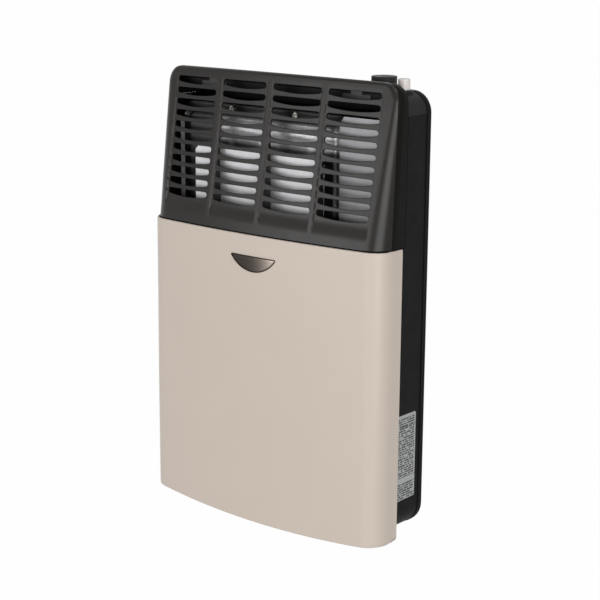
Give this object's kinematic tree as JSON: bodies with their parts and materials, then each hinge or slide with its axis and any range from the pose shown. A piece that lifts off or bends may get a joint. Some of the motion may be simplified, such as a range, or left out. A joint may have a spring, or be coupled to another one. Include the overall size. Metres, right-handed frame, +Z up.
{
  "type": "wall mounted gas heater",
  "caption": "Wall mounted balanced-flue gas heater: bowed enamelled front panel, leaning louvred grille, black casing, push-and-turn gas knob and igniter button on top.",
  "frame": {"origin": "on the wall face, at the centre of the four wall screw holes", "axes": "+X to the right as seen from the room, +Y into the wall, +Z up"},
  "size_m": [0.366, 0.1042, 0.5538],
  "materials": {
    "panel_enamel": "satin champagne-beige enamel",
    "grille_resin": "matte graphite heat-resistant resin",
    "casing_paint": "matte black paint",
    "cap_paint": "matte black paint",
    "badge_metal": "brushed",
    "badge_dark": "semi-gloss",
    "label_foil": "satin foil",
    "heat_enamel": "matte black heat-resistant enamel",
    "gasket_fibre": "pressed fibre",
    "galvanised_sheet": "galvanised sheet, dull",
    "steel": "plain",
    "zinc_fasteners": "bright zinc",
    "spring_steel": "drawn wire",
    "brass": "turned",
    "copper": "drawn copper tube",
    "cast_iron": "as cast",
    "heat_glass": "clear heat-resistant glass",
    "white_ceramic": "glazed ceramic",
    "lead_silicone": "silicone sleeve",
    "cast_aluminium": "die-cast",
    "black_resin": "matte",
    "knob_resin": "matte dark grey",
    "button_resin": "glossy translucent white"
  },
  "bodies": {
    "heater": {"back_plate": "casing_paint", "left_side_panel": "casing_paint", "right_side_panel": "casing_paint", "base_plate": "casing_paint", "top_cap": "cap_paint", "left_post": "galvanised_sheet", "upper_crossbar": "galvanised_sheet", "lower_crossbar": "galvanised_sheet", "front_panel": "panel_enamel", "panel_hooks": "galvanised_sheet", "upper_grille": "grille_resin", "grille_brackets": "galvanised_sheet", "badge_rim": "badge_dark", "badge_plate": "badge_metal", "rating_plate": "label_foil", "chamber_back": "heat_enamel", "chamber_front": "heat_enamel", "chamber_gasket": "gasket_fibre", "chamber_brackets": "galvanised_sheet", "chamber_screws": "zinc_fasteners", "flue_collar": "galvanised_sheet", "air_collar": "galvanised_sheet", "air_duct": "galvanised_sheet", "sight_glass": "heat_glass", "glass_gasket": "gasket_fibre", "glass_frame": "steel", "glass_screws": "zinc_fasteners", "front_heat_shield": "galvanised_sheet", "right_heat_shield": "galvanised_sheet", "top_deflector": "casing_paint", "shield_screws": "zinc_fasteners", "main_burner": "cast_iron", "mixing_tube": "steel", "burner_injector": "brass", "burner_feed_tube": "copper", "pilot_burner": "steel", "pilot_tube": "steel", "thermocouple": "copper", "spark_electrode": "white_ceramic", "ignition_lead": "lead_silicone", "lead_plate": "steel", "valve_body": "cast_aluminium", "valve_cover": "cast_aluminium", "valve_spring": "spring_steel", "valve_bracket": "galvanised_sheet", "valve_screws": "zinc_fasteners", "knob_bush": "black_resin", "piezo_body": "black_resin", "piezo_nut": "black_resin", "piezo_spring": "spring_steel", "gas_inlet_fitting": "brass", "inlet_pipe": "steel", "side_rivets": "zinc_fasteners", "casing_screws": "zinc_fasteners"},
    "plunger": {"valve_plunger": "steel"},
    "knob": {"control_knob": "knob_resin", "knob_rod": "steel", "rod_coupling": "brass", "valve_spindle": "brass"},
    "button": {"piezo_button": "button_resin"}
  },
  "joints": [
    {"name": "knob_push", "type": "slide", "parent": "heater", "child": "plunger", "axis": [0, 0, -1], "range_m": [0, 0.004], "stiffness_N_per_m": 1000, "springref_m": -0.004, "deforming": ["valve_spring"]},
    {"name": "knob_turn", "type": "hinge", "parent": "plunger", "child": "knob", "pos_m": [0.1277, -0.02, 0.263], "axis": [0, 0, 1], "range_deg": [0, 180]},
    {"name": "button_push", "type": "slide", "parent": "heater", "child": "button", "axis": [0, 0, -1], "range_m": [0, 0.006], "stiffness_N_per_m": 1500, "springref_m": -0.003, "deforming": ["piezo_spring"]}
  ]
}
